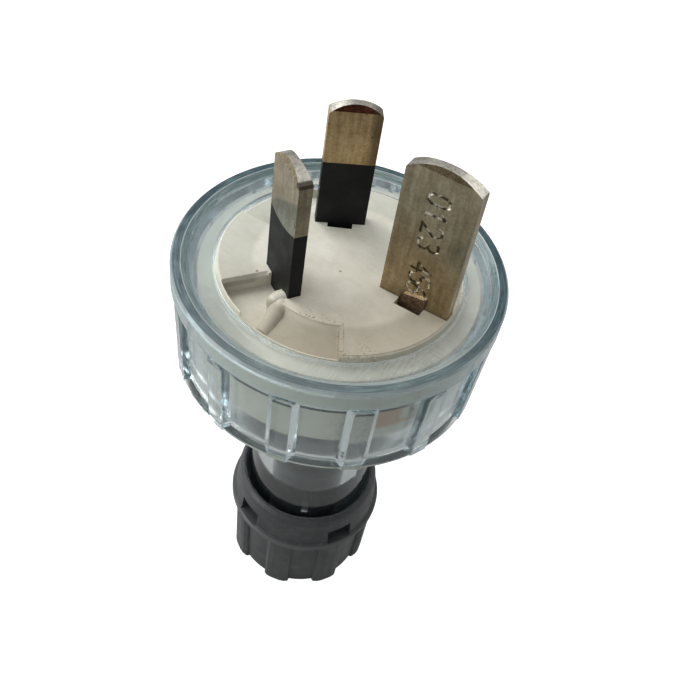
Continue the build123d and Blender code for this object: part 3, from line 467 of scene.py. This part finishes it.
# ------------------------------------------------------------ blades
def blade_metal(name, dark, mid, light, broad, side, brush=(0, 0, 0), side_light=0.8, bevel=(0.5, 0.5, 0.5),
                crown=1.6):
    """Nickel plate gone brown: mottled, drawn along the blade; painted shade darkens the
    ground bevels, the sheared sides get a painted light-and-shade factor, and a painted highlight brightens the crowned
    end."""
    m = Mat(name)
    m.set(Metallic=1.0)
    cloud = m.noise(240, 4, 0.6)
    drawn = m.noise(1.0, 3, 0.6, vec=m.mapping(scale=(1700, 1700, 190), rot=brush))
    grain = m.noise(2800, 2)
    tone = m.math("ADD", m.math("MULTIPLY", cloud, 0.38),
                  m.math("ADD", m.math("MULTIPLY", drawn, 0.37), m.math("MULTIPLY", grain, 0.25)))
    colour = m.ramp(tone, [(0.36, dark), (0.50, mid), (0.64, light)])
    nz = m.facing((0, 0, 1))
    side_f = m.rng(m.math("ABSOLUTE", m.facing(side)), 0.6, 0.8)
    on_bevel = m.times(m.band(nz, 0.17, 0.50, 0.06), m.rng(m.math("ABSOLUTE", m.facing(broad)), 0.75, 0.85))
    on_crown = m.rng(nz, 0.62, 0.72)
    # painted light and shade: the sheared sides made lighter on some blades and darker on others by a factor given per
    # blade
    colour = m.mix(side_f, colour, m.mix(1.0, colour, (side_light,) * 3, "MULTIPLY"))
    rough_grind = m.rng(m.noise(5200, 2), 0.35, 0.65, 0.6, 1.15)
    # painted shade: the ground bevels darkened for the dark surround they reflect; the grinding grain in them is real
    colour = m.mix(on_bevel, colour, m.mix(1.0, m.mix(1.0, colour, bevel, "MULTIPLY"), rough_grind, "MULTIPLY"))
    # painted highlight on the crowned end
    bright = m.ramp(m.noise(3000, 3), [(0.3, (0.42, 0.39, 0.33)), (0.55, (0.70, 0.675, 0.60))])
    colour = m.mix(m.math("MULTIPLY", on_crown, 0.95), colour, bright)
    rough = m.math("ADD", m.rng(m.noise(420, 4), 0.3, 0.7, 0.26, 0.40),
                   m.math("MULTIPLY", m.most(on_bevel, side_f), 0.10))
    m.link(rough, m.p.inputs["Roughness"])
    fine = m.noise(1.0, 2, vec=m.mapping(scale=(5200, 5200, 420), rot=brush))
    height = m.math("ADD", m.math("MULTIPLY", fine, 0.5), m.math("MULTIPLY", grain, 0.8))
    m.link(m.bump(height, 0.20, 0.00005), m.p.inputs["Normal"])
    return m, colour


def unit(deg):
    return (math.cos(math.radians(deg)), math.sin(math.radians(deg)), 0.0)


# earth blade: plain digits with painted shade and painted glints in their grooves, the barb's face painted dark as
# shade below a painted highlight on its edge
em, ec = blade_metal("nickel_earth", (0.205, 0.166, 0.108), (0.315, 0.268, 0.182), (0.450, 0.398, 0.290),
                     (0, 1, 0), (1, 0, 0), brush=(0, math.radians(16), 0), side_light=1.35,
                     bevel=(0.46, 0.42, 0.38))
ex, ey, ez = em.xyz()
looks_front = em.rng(em.facing((0, -1, 0)), 0.5, 0.7)
low_brown = em.rng(ez, FACE + 3 * MM, FACE + 12 * MM, 1.0, 0.0)
ec = em.mix(em.math("MULTIPLY", low_brown, 0.8), ec, em.mix(1.0, ec, (0.98, 0.86, 0.72), "MULTIPLY"))
# painted shade and painted glints in the digit grooves
groove_shade_and_glint = em.times(em.band(ey, -0.775 * MM, -0.60 * MM, 0.02 * MM), looks_front,
                  em.rng(ez, FACE + 16.6 * MM, FACE + 16.7 * MM, 1.0, 0.0))
glint = em.ramp(em.noise(1100, 2), [(0.50, (0.045, 0.036, 0.024)), (0.60, (0.95, 0.91, 0.82))])
ec = em.mix(em.math("MULTIPLY", groove_shade_and_glint, 0.85), ec, glint)
on_barb = em.times(em.band(ex, 8.3 * MM, 12.2 * MM, 0.05 * MM), em.rng(ez, FACE + 2.0 * MM, FACE + 1.9 * MM),
                   em.rng(ey, -0.822 * MM, -0.832 * MM))
barb_face_shade = em.times(on_barb, em.rng(em.facing((0, 0, 1)), 0.3, 0.5, 1.0, 0.0))
# painted shade: the barb's downward face painted dark
ec = em.mix(barb_face_shade, ec, em.ramp(em.noise(2600, 3), [(0.35, (0.075, 0.045, 0.026)), (0.62, (0.17, 0.11, 0.068))]))
em.link(em.math("SUBTRACT", 1.0, em.math("MULTIPLY", barb_face_shade, 0.9)), em.p.inputs["Metallic"])
# painted highlight on the barb's upward-facing top edge
ec = em.mix(em.times(on_barb, em.rng(em.facing((0, 0, 1)), 0.4, 0.6)), ec, (0.92, 0.86, 0.76))
shade = em.times(em.near((0.0148, -0.0008, FACE + 9.6 * MM), 0.0008, 0.0026), looks_front)
ec = em.mix(em.math("MULTIPLY", shade, 0.45), ec, (0.13, 0.125, 0.105))
em.link(ec, em.p.inputs["Base Color"])
put("earth_pin", em)

# active blade: lighter drawn face, greyer near the sleeve, dark nick at the corner
am, ac = blade_metal("nickel_active", (0.290, 0.240, 0.160), (0.450, 0.390, 0.280), (0.660, 0.590, 0.445),
                     unit(237.5), unit(327.5), brush=(math.radians(10), math.radians(-8), 0),
                     side_light=0.55, bevel=(0.9, 0.88, 0.84))
across = am.along(unit(327.5))
ax, ay, az_ = am.xyz()
tide = am.math("SUBTRACT", az_, am.math("MULTIPLY", across, 0.62))
grey = am.math("MULTIPLY", am.rng(am.math("ADD", tide, am.math("MULTIPLY", am.noise(300, 3), 0.0012)),
                                  FACE + 12.15 * MM, FACE + 12.5 * MM, 1.0, 0.0), 0.85)
grey = am.times(grey, am.rng(am.math("ABSOLUTE", am.facing(unit(237.5))), 0.6, 0.8))
ac = am.mix(grey, ac, am.mix(1.0, ac, (0.52, 0.58, 0.60), "MULTIPLY"))
nick = am.times(am.rng(across, 2.75 * MM, 2.95 * MM), am.band(az_, FACE + 15.75 * MM, FACE + 16.35 * MM, 0.1 * MM))
ac = am.mix(am.math("MULTIPLY", nick, 0.85), ac, (0.06, 0.045, 0.03))
am.link(ac, am.p.inputs["Base Color"])
put("active_pin", am)

# neutral blade: browner, with painted dark maroon shade on its bevel, a painted shadow band along one side, and dark
# spots
nm, nc = blade_metal("nickel_neutral", (0.270, 0.190, 0.100), (0.460, 0.340, 0.190), (0.640, 0.500, 0.310),
                     unit(124.0), unit(34.0), side_light=1.5, bevel=(0.27, 0.14, 0.15))
nacross = nm.along(unit(214.0))
nx, ny, nz_ = nm.xyz()
# painted shadow band along one side of the blade
shadow_band = nm.rng(nacross, -1.6 * MM, -2.6 * MM)
nc = nm.mix(nm.math("MULTIPLY", shadow_band, 0.6), nc, (0.10, 0.08, 0.055))
spots = nm.times(nm.rng(nm.voronoi(900).outputs["Distance"], 0.12, 0.22, 1.0, 0.0), nm.rng(nm.noise(500, 2), 0.5, 0.6))
nc = nm.mix(nm.math("MULTIPLY", spots, 0.5), nc, (0.09, 0.06, 0.03))
nm.link(nc, nm.p.inputs["Base Color"])
put("neutral_pin", nm)

# ------------------------------------------------------------ sleeves
bk = Mat("black_sleeve")
bk.p.inputs["Specular IOR Level"].default_value = 0.17
speck = bk.near((-0.00300, 0.00520, FACE + 2.6 * MM), 0.00010, 0.00006)
bk.link(bk.mix(speck, bk.ramp(bk.noise(500, 4), [(0.3, (0.0055, 0.006, 0.0065)), (0.7, (0.0115, 0.0125, 0.0135))]),
               (0.35, 0.38, 0.38)), bk.p.inputs["Base Color"])
bk.link(bk.rng(bk.noise(260, 4), 0.3, 0.7, 0.42, 0.58), bk.p.inputs["Roughness"])
bk.link(bk.bump(bk.noise(1600, 3), 0.2, 0.00004), bk.p.inputs["Normal"])
put("active_sleeve", bk)
put("neutral_sleeve", bk)

# ------------------------------------------------------------ grey nylon
gn = Mat("grey_nylon")
gn.p.inputs["Specular IOR Level"].default_value = 0.45
gr, gaz, gz = gn.polar()
wear = gn.rng(gn.noise(700, 4, 0.65), 0.50, 0.72)
ground = gn.ramp(gn.noise(160, 5, 0.6), [(0.3, (0.031, 0.0335, 0.036)), (0.7, (0.047, 0.050, 0.053))])
# painted light: faces turned to the west and east of the nut painted lighter
west_lit = gn.rng(gn.facing((-0.92, -0.39, 0.0)), 0.45, 0.95)
east_lit = gn.rng(gn.facing((0.97, 0.24, 0.0)), 0.45, 0.95)
ground = gn.mix(gn.math("MULTIPLY", gn.most(west_lit, east_lit), 0.55), ground, (0.085, 0.090, 0.094))
rub = gn.times(gn.band(gr, 11.75 * MM, 12.05 * MM, 0.1 * MM), gn.band(gz, 13.2 * MM, 14.1 * MM, 0.1 * MM))
gn.link(gn.mix(gn.most(gn.math("MULTIPLY", wear, 0.25), gn.math("MULTIPLY", rub, 0.45)),
               ground, (0.115, 0.118, 0.112)), gn.p.inputs["Base Color"])
gn.link(gn.rng(gn.noise(300, 4), 0.3, 0.7, 0.40, 0.56), gn.p.inputs["Roughness"])
gn.link(gn.bump(gn.math("ADD", gn.noise(1300, 4, 0.6), gn.noise(250, 2)), 0.22, 0.00008),
        gn.p.inputs["Normal"])
put("gland_nut", gn)

cg = Mat("dark_nylon")
cg.p.inputs["Specular IOR Level"].default_value = 0.25
cg.link(cg.ramp(cg.noise(160, 5), [(0.3, (0.008, 0.010, 0.012)), (0.7, (0.015, 0.018, 0.020))]),
        cg.p.inputs["Base Color"])
cg.link(cg.rng(cg.noise(300, 4), 0.3, 0.7, 0.45, 0.6), cg.p.inputs["Roughness"])
put("cord_collet", cg)

nat = Mat("natural_nylon")
nat.set(Roughness=0.5)
nat.link(nat.ramp(nat.noise(300, 4), [(0.3, (0.68, 0.66, 0.60)), (0.7, (0.78, 0.76, 0.70))]),
         nat.p.inputs["Base Color"])
put("slip_washer", nat)

rb = Mat("seal_rubber")
rb.link(rb.ramp(rb.noise(400, 4), [(0.3, (0.012, 0.012, 0.013)), (0.7, (0.022, 0.022, 0.024))]),
        rb.p.inputs["Base Color"])
rb.link(rb.rng(rb.noise(700, 3), 0.3, 0.7, 0.6, 0.8), rb.p.inputs["Roughness"])
put("cord_seal", rb)

si = Mat("gasket_silicone")
si.set(Roughness=0.35)
si.link(si.ramp(si.noise(400, 3), [(0.3, (0.60, 0.62, 0.60)), (0.7, (0.70, 0.71, 0.69))]),
        si.p.inputs["Base Color"])
put("body_gasket", si)

# ------------------------------------------------------------ brass and steel inside
br = Mat("terminal_brass")
br.set(Metallic=1.0)
br.link(br.ramp(br.noise(400, 4), [(0.3, (0.55, 0.32, 0.12)), (0.7, (0.78, 0.50, 0.22))]),
        br.p.inputs["Base Color"])
br.link(br.rng(br.noise(600, 4), 0.3, 0.7, 0.28, 0.45), br.p.inputs["Roughness"])
for n in ("earth_terminal", "active_terminal", "neutral_terminal", "terminal_rivets"):
    put(n, br)

st = Mat("zinc_steel")
st.set(Metallic=1.0)
st.link(st.ramp(st.noise(500, 4), [(0.3, (0.50, 0.50, 0.48)), (0.7, (0.68, 0.68, 0.66))]),
        st.p.inputs["Base Color"])
st.link(st.rng(st.noise(600, 4), 0.3, 0.7, 0.25, 0.4), st.p.inputs["Roughness"])
put("terminal_screws", st)
put("carrier_screws", st)

# ------------------------------------------------------------ smooth shading
for ob in N.values():
    for poly in ob.data.polygons:
        poly.use_smooth = True
